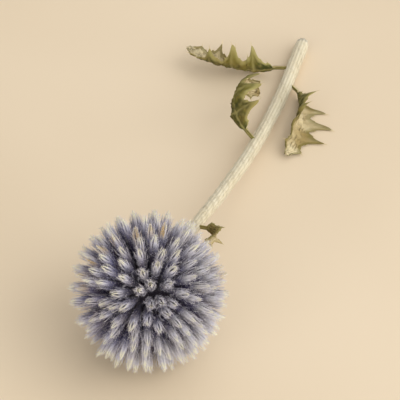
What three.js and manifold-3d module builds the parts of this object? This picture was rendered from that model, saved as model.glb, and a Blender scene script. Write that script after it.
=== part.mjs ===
// A dried globe thistle flower head, picked with a length of its own stalk and lying down.
//
// Millimetres, +Z up. The plant lies on the plane z = 0 and the origin is the point of that
// plane straight under the middle of the globe. The stalk runs away from the globe along +Y.
//
// The globe is a bunch of single-flowered buds, the florets, which all stand out of one small
// round core. They grow in a golden-angle spiral that starts at the front and ends round the
// stalk. The stalk is ribbed, thicker towards its cut end, and carries four dried leaves.

import * as THREE from "three";
import { mergeVertices } from "three/addons/utils/BufferGeometryUtils.js";
import Module from "manifold-3d";

// ---------------------------------------------------------------- driving dimensions

const CLEARANCE = 0.3; // gap between pieces that are separate solids
const degrees = THREE.MathUtils.degToRad;

const GLOBE = {
  radius: 19, // middle of the globe to the floret tips
  height: 18.3, // middle of the globe over the surface, so that the lowest tips are pressed flat
  coreRadius: 8.5,
  florets: 240,
  tipLimit: degrees(167), // from the front of the globe to the last floret tips, by the stalk
  fanFrom: degrees(105), // past this angle the florets lean back over the stalk
  fan: degrees(17), // how far the last ones lean
  lengthSpread: 0.03, // share of the radius by which single florets are longer or shorter
  tiltSpread: degrees(3.4), // how far single florets stand off the even spiral
  drift: degrees(3.6), // how far whole patches of florets are pushed to one side
};

// The outline of a floret: [share of the globe's radius from its middle, floret radius in mm].
const FLORET_PROFILE = [
  [0.36, 0],
  [0.55, 0.88],
  [0.74, 1.06],
  [0.9, 0.7],
  [1, 0],
];
const FLORET_SIDES = 5;
const CORE_DETAIL = 3; // subdivisions of the core's icosahedron

const PRESSED = {
  within: degrees(20), // florets closer than this to straight down bear on the surface
  depth: 0.4, // how much of each such tip is pressed flat
  calmWithin: degrees(32), // and those up to here stand more evenly
};

const STALK = {
  direction: new THREE.Vector3(0.05, 1, -0.14).normalize(), // from the globe's middle
  neckRadius: 1.9, // flared where it joins the core
  neckLength: 5,
  radius: 1.3, // below the flare
  cutRadius: 1.65, // at the cut end
  sides: 14, // every other corner is a rib
  ribDepth: 0.07, // share of the radius
  steps: 34,
  cutSlant: 0.55, // how far the cut leans, as rise over run
};
// Hand-set points that the stalk passes below the globe: it sags to the surface and lies on it.
const STALK_ROUTE = [
  [2, 26, 14.6],
  [3.3, 46, 9.6],
  [4.3, 67, 4.9],
  [4.8, 90, 2.2],
  [4.2, 114, 1.62],
];

const BLADE = {
  thickness: 0.7,
  midribDepth: 0.5, // how far the midrib stands out of the underside
  columns: 6, // quads across the blade
  stationsPerLobe: 4,
  narrowest: 0.5, // half the width of its stalk and of its tip
  cut: 0.4, // width left between the lobes, as a share of the outline
  point: 2.2, // 1 for lobes with straight sides, more for hollow ones
  sweep: 0.5, // how far the lobes lean towards the leaf tip, as a share of their reach
  stalkShare: 0.12, // share of the leaf's length that is a narrow stalk
  lowest: 0.38, // the middle of the blade never comes closer to the surface than this
  settle: 0.8, // how softly it comes to lie there
};

// Each leaf: share of the way down the stalk, turn round the stalk from straight up, size of the
// flat leaf, angle it leaves the stalk at, bend of its midrib along its length (positive bends
// towards the leaf's upper side), roll of the blade from edge to edge, and turn about its midrib.
const LEAVES = [
  {
    name: "leaf_upper", at: 0.195, side: degrees(84), length: 9, width: 5, lobes: 3,
    leaves: degrees(100), bend: degrees(150), roll: degrees(-120), turn: degrees(20), wave: 0.3,
  },
  {
    name: "leaf_left", at: 0.615, side: degrees(-38), length: 24, width: 14, lobes: 5,
    leaves: degrees(62), bend: degrees(-200), roll: degrees(-115), turn: degrees(65), wave: 1.1,
  },
  {
    name: "leaf_right", at: 0.855, side: degrees(98), length: 26, width: 16, lobes: 5,
    leaves: degrees(30), bend: degrees(40), roll: degrees(-150), turn: degrees(-60), wave: 1.1,
  },
  {
    name: "leaf_lower", at: 0.91, side: degrees(-84), length: 26, width: 14, lobes: 5,
    leaves: degrees(48), bend: degrees(-75), roll: degrees(-160), turn: degrees(95), wave: 1,
  },
];

const FINISH = {
  globe: { color: 0x9aa0ad, roughness: 0.85, metalness: 0 },
  stalk: { color: 0xd9cfb2, roughness: 0.9, metalness: 0 },
  leaf: { color: 0x7d8450, roughness: 0.88, metalness: 0 },
};

// ---------------------------------------------------------------- shared helpers

const wasm = await Module();
wasm.setup();

/** A closed geometry as a manifold-3d solid. */
function solidOf(geometry) {
  const bare = new THREE.BufferGeometry();
  bare.setAttribute("position", geometry.getAttribute("position"));
  bare.setIndex(geometry.getIndex());
  const merged = mergeVertices(bare, 1e-4);
  const mesh = new wasm.Mesh({
    numProp: 3,
    vertProperties: merged.getAttribute("position").array,
    triVerts: new Uint32Array(merged.getIndex().array),
  });
  return new wasm.Manifold(mesh);
}

/** A manifold-3d solid as a flat-shaded geometry. */
function geometryOf(solid) {
  const mesh = solid.getMesh();
  const indexed = new THREE.BufferGeometry();
  indexed.setAttribute("position", new THREE.BufferAttribute(mesh.vertProperties, 3));
  indexed.setIndex(new THREE.BufferAttribute(mesh.triVerts, 1));
  const geometry = indexed.toNonIndexed();
  geometry.computeVertexNormals();
  return geometry;
}

/**
 * One closed skin over a row of rings, each a closed loop of as many points, with a cap at each
 * end. Where the loops fold back on themselves, as round a thin blade, the second half of each
 * is split along the other diagonal, so that both faces have triangles alike.
 */
function loft(rings, foldsBack = false) {
  const sides = rings[0].length;
  const points = rings.flat();
  const faces = [];
  for (let ring = 0; ring + 1 < rings.length; ring++) {
    for (let side = 0; side < sides; side++) {
      const next = (side + 1) % sides;
      const [a, b] = [ring * sides + side, ring * sides + next];
      const [d, c] = [a + sides, b + sides];
      if (foldsBack && side >= sides / 2) faces.push(a, b, d, b, c, d);
      else faces.push(a, b, c, a, c, d);
    }
  }
  for (const [first, isStart] of [[0, true], [(rings.length - 1) * sides, false]]) {
    const middle = points.length;
    const ring = points.slice(first, first + sides);
    points.push(ring.reduce((sum, p) => sum.add(p), new THREE.Vector3()).divideScalar(sides));
    for (let side = 0; side < sides; side++) {
      const [a, b] = [first + side, first + ((side + 1) % sides)];
      faces.push(...(isStart ? [b, a, middle] : [a, b, middle]));
    }
  }
  const geometry = new THREE.BufferGeometry().setFromPoints(points);
  geometry.setIndex(faces);
  const faceted = geometry.toNonIndexed();
  faceted.computeVertexNormals();
  return faceted;
}

function meshOf(name, geometry, finish) {
  const mesh = new THREE.Mesh(geometry, new THREE.MeshStandardMaterial(finish));
  mesh.name = name;
  return mesh;
}

/** A repeatable draw between -1 and 1 for item i: the fraction of i steps of an irrational. */
function draw(i, step) {
  const x = (i + 1) * step;
  return 2 * (x - Math.floor(x)) - 1;
}

function smoothstep(from, to, x) {
  return THREE.MathUtils.smoothstep(x, from, to);
}

// ---------------------------------------------------------------- the globe

const GOLDEN_ANGLE = Math.PI * (3 - Math.sqrt(5));
const DOWN = new THREE.Vector3(0, 0, -1);
const FRONT = STALK.direction.clone().negate();
const ACROSS = new THREE.Vector3().crossVectors(DOWN, FRONT).normalize();
const UPRIGHT = new THREE.Vector3().crossVectors(FRONT, ACROSS);

/** The unit vector at an angle from the globe's front and a turn round its axis. */
function globeDirection(polar, turn) {
  return new THREE.Vector3()
    .addScaledVector(ACROSS, Math.cos(turn) * Math.sin(polar))
    .addScaledVector(UPRIGHT, Math.sin(turn) * Math.sin(polar))
    .addScaledVector(FRONT, Math.cos(polar));
}

/** The angle from the front of floret i of the spiral: each has an equal share of the sphere. */
function spiralPolar(i) {
  return Math.acos(1 - ((1 - Math.cos(GLOBE.tipLimit)) * (i + 0.5)) / GLOBE.florets);
}

/** The turn that points one floret of the spiral straight down, for the globe to rest on. */
function restingTurn() {
  const polar = FRONT.angleTo(DOWN);
  const share = (1 - Math.cos(polar)) / (1 - Math.cos(GLOBE.tipLimit));
  const lowest = Math.round(share * GLOBE.florets - 0.5);
  return Math.atan2(DOWN.dot(UPRIGHT), DOWN.dot(ACROSS)) - lowest * GOLDEN_ANGLE;
}

/** Where floret i starts and ends, from the middle of the globe. */
function floretEnds(i, startTurn) {
  const polar = spiralPolar(i);
  const turn = startTurn + i * GOLDEN_ANGLE;
  const even = globeDirection(polar, turn);
  const fromDown = even.angleTo(DOWN);
  const loose = smoothstep(PRESSED.within, PRESSED.calmWithin, fromDown);

  const tip = even.clone();
  tip.addScaledVector(ACROSS, loose * GLOBE.tiltSpread * draw(i, Math.SQRT2));
  tip.addScaledVector(UPRIGHT, loose * GLOBE.tiltSpread * draw(i, Math.sqrt(3)));
  tip.x += loose * GLOBE.drift * Math.sin(5 * even.y + 2 * even.z);
  tip.z += loose * GLOBE.drift * Math.sin(6 * even.x + 3 * even.y + 1);
  tip.normalize();

  const reach = fromDown < PRESSED.within
    ? (GLOBE.height + PRESSED.depth) / Math.cos(fromDown)
    : GLOBE.radius * (1 + GLOBE.lengthSpread * draw(i, Math.sqrt(5)));
  const leanBack = GLOBE.fan * smoothstep(GLOBE.fanFrom, GLOBE.tipLimit, polar);
  const root = globeDirection(polar - leanBack, turn);
  root.multiplyScalar(FLORET_PROFILE[0][0] * GLOBE.radius);
  return { root, tip: tip.multiplyScalar(reach) };
}

/** One floret, from its root in the core to its tip. */
function floret(root, tip, roll) {
  const axis = new THREE.Vector3().subVectors(tip, root);
  const [start, end] = [FLORET_PROFILE[0][0], FLORET_PROFILE.at(-1)[0]];
  const outline = FLORET_PROFILE.map(([share, radius]) =>
    new THREE.Vector2(radius, ((share - start) / (end - start)) * axis.length()));
  const geometry = new THREE.LatheGeometry(outline, FLORET_SIDES, roll);
  geometry.applyQuaternion(
    new THREE.Quaternion().setFromUnitVectors(new THREE.Vector3(0, 1, 0), axis.normalize()));
  return geometry.translate(root.x, root.y, root.z);
}

function globe() {
  const startTurn = restingTurn();
  let body = solidOf(new THREE.IcosahedronGeometry(GLOBE.coreRadius, CORE_DETAIL));
  for (let i = 0; i < GLOBE.florets; i++) {
    const { root, tip } = floretEnds(i, startTurn);
    body = body.add(solidOf(floret(root, tip, i * GOLDEN_ANGLE)));
  }
  // The surface that the globe lies on presses the lowest tips flat.
  const slab = new THREE.BoxGeometry(4 * GLOBE.radius, 4 * GLOBE.radius, GLOBE.radius);
  slab.translate(0, 0, -GLOBE.height - GLOBE.radius / 2);
  const mesh = meshOf("flower_head", geometryOf(body.subtract(solidOf(slab))), FINISH.globe);
  mesh.position.set(0, 0, GLOBE.height);
  return mesh;
}

// ---------------------------------------------------------------- the stalk

const GLOBE_MIDDLE = new THREE.Vector3(0, 0, GLOBE.height);
const stalkTop = GLOBE_MIDDLE.clone()
  .addScaledVector(STALK.direction, GLOBE.coreRadius + CLEARANCE);
const stalkCurve = new THREE.CatmullRomCurve3(
  [stalkTop, ...STALK_ROUTE.map((p) => new THREE.Vector3(...p))], false, "centripetal");

/** The stalk's radius at a share of the way from the globe to the cut. */
function stalkRadius(share) {
  const flare = 1 - smoothstep(0, STALK.neckLength, share * stalkCurve.getLength());
  return THREE.MathUtils.lerp(STALK.radius, STALK.cutRadius, share)
    + flare * (STALK.neckRadius - STALK.radius);
}

/** The stalk's middle and direction at a share of its length, and the way out at any turn. */
function stalkFrame(share) {
  const middle = stalkCurve.getPointAt(share);
  const along = stalkCurve.getTangentAt(share);
  const sideways = new THREE.Vector3().crossVectors(along, new THREE.Vector3(0, 0, 1)).normalize();
  const upward = new THREE.Vector3().crossVectors(sideways, along);
  const outward = (turn) => upward.clone()
    .multiplyScalar(Math.cos(turn))
    .addScaledVector(sideways, Math.sin(turn));
  return { middle, along, outward };
}

function stalk() {
  const rings = [];
  for (let step = 0; step <= STALK.steps; step++) {
    const share = step / STALK.steps;
    const { middle, along, outward } = stalkFrame(share);
    const slant = step === STALK.steps ? STALK.cutSlant : 0;
    const ring = [];
    for (let side = 0; side < STALK.sides; side++) {
      const rib = side % 2 ? 1 : 1 - STALK.ribDepth;
      const out = outward((2 * Math.PI * (side + 0.5)) / STALK.sides);
      out.multiplyScalar(rib * stalkRadius(share));
      const corner = middle.clone().add(out).addScaledVector(along, slant * out.z);
      corner.z = Math.max(corner.z, 0);
      ring.push(corner);
    }
    rings.push(ring);
  }
  return meshOf("stalk", loft(rings), FINISH.stalk);
}

// ---------------------------------------------------------------- the leaves

/** The width of a leaf's outline at a share of its length, as a share of its full width. */
function leafEnvelope(u) {
  const body = THREE.MathUtils.clamp((u - BLADE.stalkShare) / (1 - BLADE.stalkShare), 0, 1);
  return Math.abs(Math.sin(Math.PI * body ** 0.8)) ** 0.8 * (1.1 - 0.3 * body);
}

/** How far out the edge is between a gap, 0, and the pointed tip of a lobe, 1. */
function lobe(leaf, u) {
  const along = THREE.MathUtils.euclideanModulo(leaf.lobes * u, 1);
  return (1 - Math.abs(2 * along - 1)) ** BLADE.point;
}

/**
 * The place on the flat leaf, in mm along its midrib and mm beside it, of u, which runs from 0 to
 * 1 along the leaf, and v, which runs from -1 to 1 across it. The lobes lean towards the tip.
 */
function flatPlace(leaf, u, v) {
  const outline = leafEnvelope(u) * (leaf.width / 2);
  const between = BLADE.narrowest + outline * BLADE.cut;
  const reach = between + (outline - outline * BLADE.cut) * lobe(leaf, u);
  const lean = BLADE.sweep * Math.abs(v) * (reach - between) * (1 - u);
  return [u * leaf.length + lean, v * reach];
}

/**
 * The function from a place on the flat leaf to where that place is on the dried one. The midrib
 * bends at a steady rate, the blade turns about the midrib, and rolls up across it along an arc.
 * It settles on the surface below it.
 */
function curledLeaf(leaf) {
  const { middle, along, outward } = stalkFrame(leaf.at);
  const out = outward(leaf.side);
  const start = middle.clone()
    .addScaledVector(out, stalkRadius(leaf.at) + CLEARANCE + BLADE.thickness / 2);
  const ahead = along.clone().multiplyScalar(-Math.cos(leaf.leaves));
  ahead.addScaledVector(out, Math.sin(leaf.leaves));
  const above = along.clone().multiplyScalar(-Math.sin(leaf.leaves));
  above.addScaledVector(out, -Math.cos(leaf.leaves));
  const beside = new THREE.Vector3().crossVectors(ahead, above);
  const bendRadius = leaf.length / leaf.bend;
  const rollRadius = leaf.width / leaf.roll;

  return (down, across) => {
    const share = down / leaf.length;
    const bent = leaf.bend * share;
    const turned = leaf.turn * share;
    const rolled = across / rollRadius;
    const place = start.clone()
      .addScaledVector(ahead, bendRadius * Math.sin(bent))
      .addScaledVector(above, bendRadius * (1 - Math.cos(bent)));
    const normal = above.clone().multiplyScalar(Math.cos(bent));
    normal.addScaledVector(ahead, -Math.sin(bent));
    const width = beside.clone().multiplyScalar(Math.cos(turned));
    width.addScaledVector(normal, Math.sin(turned));
    const raise = normal.multiplyScalar(Math.cos(turned));
    raise.addScaledVector(beside, -Math.sin(turned));

    const aside = across / (leaf.width / 2);
    const ripple = leaf.wave * aside ** 2 * Math.sin(2 * Math.PI * leaf.lobes * share + 2 * aside);
    place.addScaledVector(width, rollRadius * Math.sin(rolled));
    place.addScaledVector(raise, rollRadius * (1 - Math.cos(rolled)) + ripple);
    const over = place.z - BLADE.lowest;
    place.z = BLADE.lowest + (over + Math.hypot(over, BLADE.settle)) / 2;
    return place;
  };
}

/** A leaf as a thin closed blade: its surface thickened both ways, with a midrib underneath. */
function leafMesh(leaf) {
  const curled = curledLeaf(leaf);
  const stations = leaf.lobes * BLADE.stationsPerLobe;
  const nudge = 1e-2;
  const rings = [];
  for (let station = 0; station <= stations; station++) {
    const u = station / stations;
    const upper = [];
    const lower = [];
    for (let column = 0; column <= BLADE.columns; column++) {
      const v = (2 * column) / BLADE.columns - 1;
      const [down, across] = flatPlace(leaf, u, v);
      const alongIt = curled(down + nudge, across).sub(curled(down - nudge, across));
      const acrossIt = curled(down, across + nudge).sub(curled(down, across - nudge));
      const normal = new THREE.Vector3().crossVectors(acrossIt, alongIt).normalize();
      const rib = BLADE.midribDepth * (1 - Math.abs(v)) ** 4 * (1 - u);
      const place = curled(down, across);
      upper.push(place.clone().addScaledVector(normal, BLADE.thickness / 2));
      lower.unshift(place.clone().addScaledVector(normal, -BLADE.thickness / 2 - rib));
    }
    rings.push([...upper, ...lower]);
  }
  return meshOf(leaf.name, loft(rings, true), FINISH.leaf);
}

// ---------------------------------------------------------------- the plant

const plant = new THREE.Group();
plant.add(globe(), stalk(), ...LEAVES.map(leafMesh));

export default plant;
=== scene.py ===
"""A dried globe thistle flower head, picked with a length of its stalk and lying on a table.

Metres, +Z up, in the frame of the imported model: the origin is on the table under the middle of
the globe, and the stalk runs away from the globe along +Y. The globe's florets, the stalk and the
four leaves follow the same formulas as the solids, and are finer here: each floret is a bundle of
pointed bracts with fringed edges, and each leaf a thin blade with veins and spines.
"""

import logging
import math
from dataclasses import dataclass, field, replace
from enum import Enum

import bpy
import numpy as np
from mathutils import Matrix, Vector


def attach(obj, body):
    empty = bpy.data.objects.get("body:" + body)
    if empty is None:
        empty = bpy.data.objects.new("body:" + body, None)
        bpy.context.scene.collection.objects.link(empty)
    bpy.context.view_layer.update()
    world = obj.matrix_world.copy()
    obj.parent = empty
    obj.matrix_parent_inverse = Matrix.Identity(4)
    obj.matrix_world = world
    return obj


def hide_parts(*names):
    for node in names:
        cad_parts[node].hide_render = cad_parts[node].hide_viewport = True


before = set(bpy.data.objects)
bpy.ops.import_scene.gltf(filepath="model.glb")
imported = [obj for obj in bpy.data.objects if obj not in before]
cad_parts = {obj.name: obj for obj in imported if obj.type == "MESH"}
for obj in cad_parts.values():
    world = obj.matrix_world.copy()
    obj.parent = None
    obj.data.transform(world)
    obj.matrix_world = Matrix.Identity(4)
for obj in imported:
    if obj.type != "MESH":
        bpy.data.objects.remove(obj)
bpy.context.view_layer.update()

log = logging.getLogger("globe_thistle")

Colour = tuple[float, float, float, float]
Socket = bpy.types.NodeSocket

MM = 0.001
GOLDEN_ANGLE = math.pi * (3 - math.sqrt(5))
DOWN = np.array([0.0, 0.0, -1.0])
# How near to the table a place may come, and the height over which it is eased down to there.
TOUCHING = 0.03 * MM
EASED = 0.1 * MM


class Slot(Enum):
    """Material slot names."""

    FLORETS = "florets"
    STALK = "stalk"
    LEAF = "leaf"


# ---------------------------------------------------------------- numbers and directions


def unit(vectors: np.ndarray) -> np.ndarray:
    """Scale vectors, along the last axis, to length one."""
    return vectors / np.linalg.norm(vectors, axis=-1, keepdims=True)


def smoothstep(low: float, high: float, value: np.ndarray) -> np.ndarray:
    """Rise from 0 at low to 1 at high with flat ends: 3 x squared minus 2 x cubed."""
    share = np.clip((value - low) / (high - low), 0, 1)
    return share * share * (3 - 2 * share)


def draw(index: np.ndarray, salt: float) -> np.ndarray:
    """Repeatable draws between -1 and 1: the fraction of (index + 1) steps of the salt's root."""
    walked = (index + 1) * math.sqrt(salt)
    return 2 * (walked - np.floor(walked)) - 1


def settle(points: np.ndarray, lowest: float = TOUCHING, softness: float = EASED) -> np.ndarray:
    """Let points come to lie on the table instead of passing through it.

    A height z over the lowest allowed one becomes half of z plus the hypotenuse of z and the
    softness, so it never reaches zero and is unchanged higher up.

    Args:
        points: Places, in metres, with x, y and z along the last axis.
        lowest: The height that no place goes under.
        softness: The height over which the change fades.

    Returns:
        The settled places.
    """
    settled = points.copy()
    over = points[..., 2] - lowest
    settled[..., 2] = lowest + (over + np.hypot(over, softness)) / 2
    return settled


# ---------------------------------------------------------------- closed skins


@dataclass
class Skin:
    """A mesh under construction: places, faces in groups of equal size, and values per place."""

    places: np.ndarray
    faces: list[np.ndarray]
    marks: dict[str, np.ndarray] = field(default_factory=dict)

    def piece(self, name: str, smooth: bool) -> bpy.types.Object:
        """Make the object, with its place in its mesh and its values as named attributes.

        Args:
            name: The object's name.
            smooth: Whether its faces are shaded as one round surface.

        Returns:
            The object, linked to the scene.
        """
        mesh = bpy.data.meshes.new(name)
        corners = np.concatenate([group.ravel() for group in self.faces])
        sizes = np.concatenate([np.full(len(group), group.shape[1]) for group in self.faces])
        mesh.vertices.add(len(self.places))
        mesh.vertices.foreach_set("co", self.places.astype(np.float32).ravel())
        mesh.loops.add(len(corners))
        mesh.loops.foreach_set("vertex_index", corners.astype(np.int32))
        mesh.polygons.add(len(sizes))
        mesh.polygons.foreach_set("loop_start", (np.cumsum(sizes) - sizes).astype(np.int32))
        mesh.polygons.foreach_set("use_smooth", np.full(len(sizes), smooth))
        mesh.update(calc_edges=True)
        for mark, values in self.marks.items():
            attribute = mesh.attributes.new(mark, "FLOAT", "POINT")
            attribute.data.foreach_set("value", values.astype(np.float32))
        piece = bpy.data.objects.new(name, mesh)
        bpy.context.scene.collection.objects.link(piece)
        return piece


def loft(rings: np.ndarray, marks: dict[str, np.ndarray]) -> Skin:
    """Close a skin over each row of rings, with a flat face at both ends.

    Corner k of a ring joins corner k of the next ring, and the corners run counter-clockwise as
    seen against the direction of the row, so that the faces point outwards.

    Args:
        rings: Places of shape (rows, rings, corners, 3).
        marks: Values of a shape that can be stretched to (rows, rings, corners).

    Returns:
        The closed skins of all rows.
    """
    shape = rings.shape[:3]
    index = np.arange(np.prod(shape)).reshape(shape)
    here = index[:, :-1]
    ahead = index[:, 1:]
    sides = np.stack([here, np.roll(here, -1, 2), np.roll(ahead, -1, 2), ahead], -1)
    ends = np.concatenate([index[:, 0, ::-1], index[:, -1]])
    values = {name: np.broadcast_to(value, shape).ravel() for name, value in marks.items()}
    return Skin(rings.reshape(-1, 3), [sides.reshape(-1, 4), ends], values)


def spikes(foot: np.ndarray, reach: np.ndarray, width: float, marks: dict[str, np.ndarray]) -> Skin:
    """Make thin three-sided spikes, each a closed pyramid.

    The base is a triangle of three points at a third of a turn each round the foot, square to
    the spike, and the point is the foot plus the reach.

    Args:
        foot: Middle of each base, shape (spikes, 3).
        reach: From each foot to its point, shape (spikes, 3).
        width: Distance from a base's middle to its corners.
        marks: Values of shape (spikes,).

    Returns:
        The closed skins of all spikes.
    """
    along = unit(reach)
    helper = np.where(np.abs(along[:, 2:3]) < 0.8, [[0.0, 0.0, 1.0]], [[1.0, 0.0, 0.0]])
    side = unit(np.cross(along, helper))
    other = np.cross(along, side)
    turns = np.arange(3) * 2 * math.pi / 3
    ring = side[:, None] * np.cos(turns)[:, None] + other[:, None] * np.sin(turns)[:, None]
    places = np.concatenate([foot[:, None] + ring * width, (foot + reach)[:, None]], 1)
    start = 4 * np.arange(len(foot))[:, None, None]
    faces = start + np.array([[2, 1, 0], [0, 1, 3], [1, 2, 3], [2, 0, 3]])
    values = {name: np.repeat(value, 4) for name, value in marks.items()}
    return Skin(places.reshape(-1, 3), [faces.reshape(-1, 3)], values)


# ---------------------------------------------------------------- node trees


class Graph:
    """A node tree with a short way to add and wire its nodes."""

    def __init__(self, tree: bpy.types.NodeTree) -> None:
        """Take an empty node tree."""
        self.tree = tree

    def add(self, kind: str, inputs: dict | None = None, **settings: object) -> bpy.types.Node:
        """Add a node.

        Args:
            kind: The node's type name, without its "ShaderNode" start where it has one.
            inputs: Sockets to wire and values to set, by input name or number.
            **settings: The node's own settings.

        Returns:
            The node.
        """
        made = self.tree.nodes.new(kind if kind.startswith("NodeGroup") else "ShaderNode" + kind)
        for name, value in settings.items():
            setattr(made, name, value)
        for key, value in (inputs or {}).items():
            if isinstance(value, Socket):
                self.tree.links.new(value, made.inputs[key])
            else:
                made.inputs[key].default_value = value
        return made

    def mark(self, name: str) -> Socket:
        """Read one of the piece's own attributes."""
        return self.add("Attribute", attribute_name=name).outputs["Fac"]

    def rise(self, value: Socket, low: float, high: float) -> Socket:
        """Turn a value into a share that rises smoothly from 0 at low to 1 at high."""
        limits = {"Value": value, "From Min": low, "From Max": high}
        return self.add("MapRange", limits, interpolation_type="SMOOTHSTEP").outputs["Result"]

    def times(self, first: object, second: object) -> Socket:
        """Multiply two numbers."""
        return self.add("Math", {0: first, 1: second}, operation="MULTIPLY").outputs["Value"]

    def plus(self, first: object, second: object) -> Socket:
        """Add two numbers."""
        return self.add("Math", {0: first, 1: second}, operation="ADD").outputs["Value"]

    def blend(self, share: object, first: object, second: object) -> Socket:
        """Mix two colours: the second one's share is given."""
        return self.add("Mix", {0: share, 6: first, 7: second}, data_type="RGBA").outputs[2]

    def noise(self, scale: object, detail: float, where: object) -> Socket:
        """Read cloudy noise, round one half, at a place."""
        inputs = {"Vector": where, "Scale": scale, "Detail": detail}
        return self.add("TexNoise", inputs).outputs["Fac"]


def new_group(name: str, inputs: dict[str, object], outputs: list[str]) -> tuple[Graph, dict]:
    """Start a shader node group.

    Args:
        name: The group's name.
        inputs: Names and default values: a tuple is a colour, a number a value.
        outputs: Names: "Color" is a colour, any other a value.

    Returns:
        The group's graph, with its input sockets by name.
    """
    tree = bpy.data.node_groups.new(name, "ShaderNodeTree")
    for key, value in inputs.items():
        kind = "NodeSocketColor" if isinstance(value, tuple) else "NodeSocketFloat"
        tree.interface.new_socket(key, in_out="INPUT", socket_type=kind).default_value = value
    for key in outputs:
        kind = "NodeSocketColor" if key == "Color" else "NodeSocketFloat"
        tree.interface.new_socket(key, in_out="OUTPUT", socket_type=kind)
    entry = tree.nodes.new("NodeGroupInput")
    return Graph(tree), {key: entry.outputs[key] for key in inputs}


def withering() -> bpy.types.NodeTree:
    """Build the blotches of a plant that has dried: colour wanders to a withered one.

    Two layers of cloudy noise, a broad one and one five times finer, decide where.

    Returns:
        The node group.
    """
    faded = (0.3, 0.25, 0.15, 1)
    broad_share, from_value, to_value = 0.65, 0.42, 0.62
    graph, given = new_group(
        "withering", {"Color": faded, "Withered": faded, "Amount": 0.5, "Scale": 100.0}, ["Color"]
    )
    place = graph.add("TexCoord").outputs["Object"]
    broad = graph.noise(given["Scale"], 3, place)
    fine = graph.noise(graph.times(given["Scale"], 5), 2, place)
    both = graph.plus(graph.times(broad, broad_share), graph.times(fine, 1 - broad_share))
    share = graph.times(graph.rise(both, from_value, to_value), given["Amount"])
    mixed = graph.blend(share, given["Color"], given["Withered"])
    graph.add("NodeGroupOutput", {"Color": mixed})
    return graph.tree


def felting() -> bpy.types.NodeTree:
    """Build the relief of short woolly hairs: fine noise and noise four times coarser, added.

    Returns:
        The node group.
    """
    graph, given = new_group("felting", {"Scale": 2000.0, "Depth": 1.0}, ["Height"])
    place = graph.add("TexCoord").outputs["Object"]
    fine = graph.noise(given["Scale"], 3, place)
    coarse = graph.noise(graph.times(given["Scale"], 0.25), 2, place)
    height = graph.times(graph.plus(fine, coarse), given["Depth"])
    graph.add("NodeGroupOutput", {"Height": height})
    return graph.tree


# ---------------------------------------------------------------- finishes


@dataclass(frozen=True)
class Finish:
    """A dry plant surface: how it withers, how its hairs stand and how it shines."""

    name: str
    withered: Colour
    withering: float
    blotch_scale: float
    hair_scale: float = 2500.0
    hair_depth: float = 0.5
    roughness: float = 0.75
    sheen: float = 0.25
    sheen_roughness: float = 0.5
    shine: float = 0.25
    hair_height: float = 0.1 * MM

    def colour(self, graph: Graph) -> Socket:
        """Wire the colour from before the surface withered; each finish has its own."""
        raise NotImplementedError

    def material(self) -> bpy.types.Material:
        """Build the material from the colour, the withering and the hairs.

        Returns:
            The material.
        """
        made = bpy.data.materials.new(self.name)
        made.use_nodes = True
        made.node_tree.nodes.clear()
        graph = Graph(made.node_tree)
        aged = graph.add(
            "Group",
            {
                "Color": self.colour(graph),
                "Withered": self.withered,
                "Amount": self.withering,
                "Scale": self.blotch_scale,
            },
            node_tree=bpy.data.node_groups["withering"],
        )
        hairs = graph.add(
            "Group",
            {"Scale": self.hair_scale, "Depth": self.hair_depth},
            node_tree=bpy.data.node_groups["felting"],
        )
        bump = {"Height": hairs.outputs["Height"], "Distance": self.hair_height}
        relief = graph.add("Bump", bump)
        surface = graph.add(
            "BsdfPrincipled",
            {
                "Base Color": aged.outputs["Color"],
                "Roughness": self.roughness,
                "Sheen Weight": self.sheen,
                "Sheen Roughness": self.sheen_roughness,
                "Specular IOR Level": self.shine,
                "Normal": relief.outputs["Normal"],
            },
        )
        graph.add("OutputMaterial", {"Surface": surface.outputs["BSDF"]})
        return made


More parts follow.
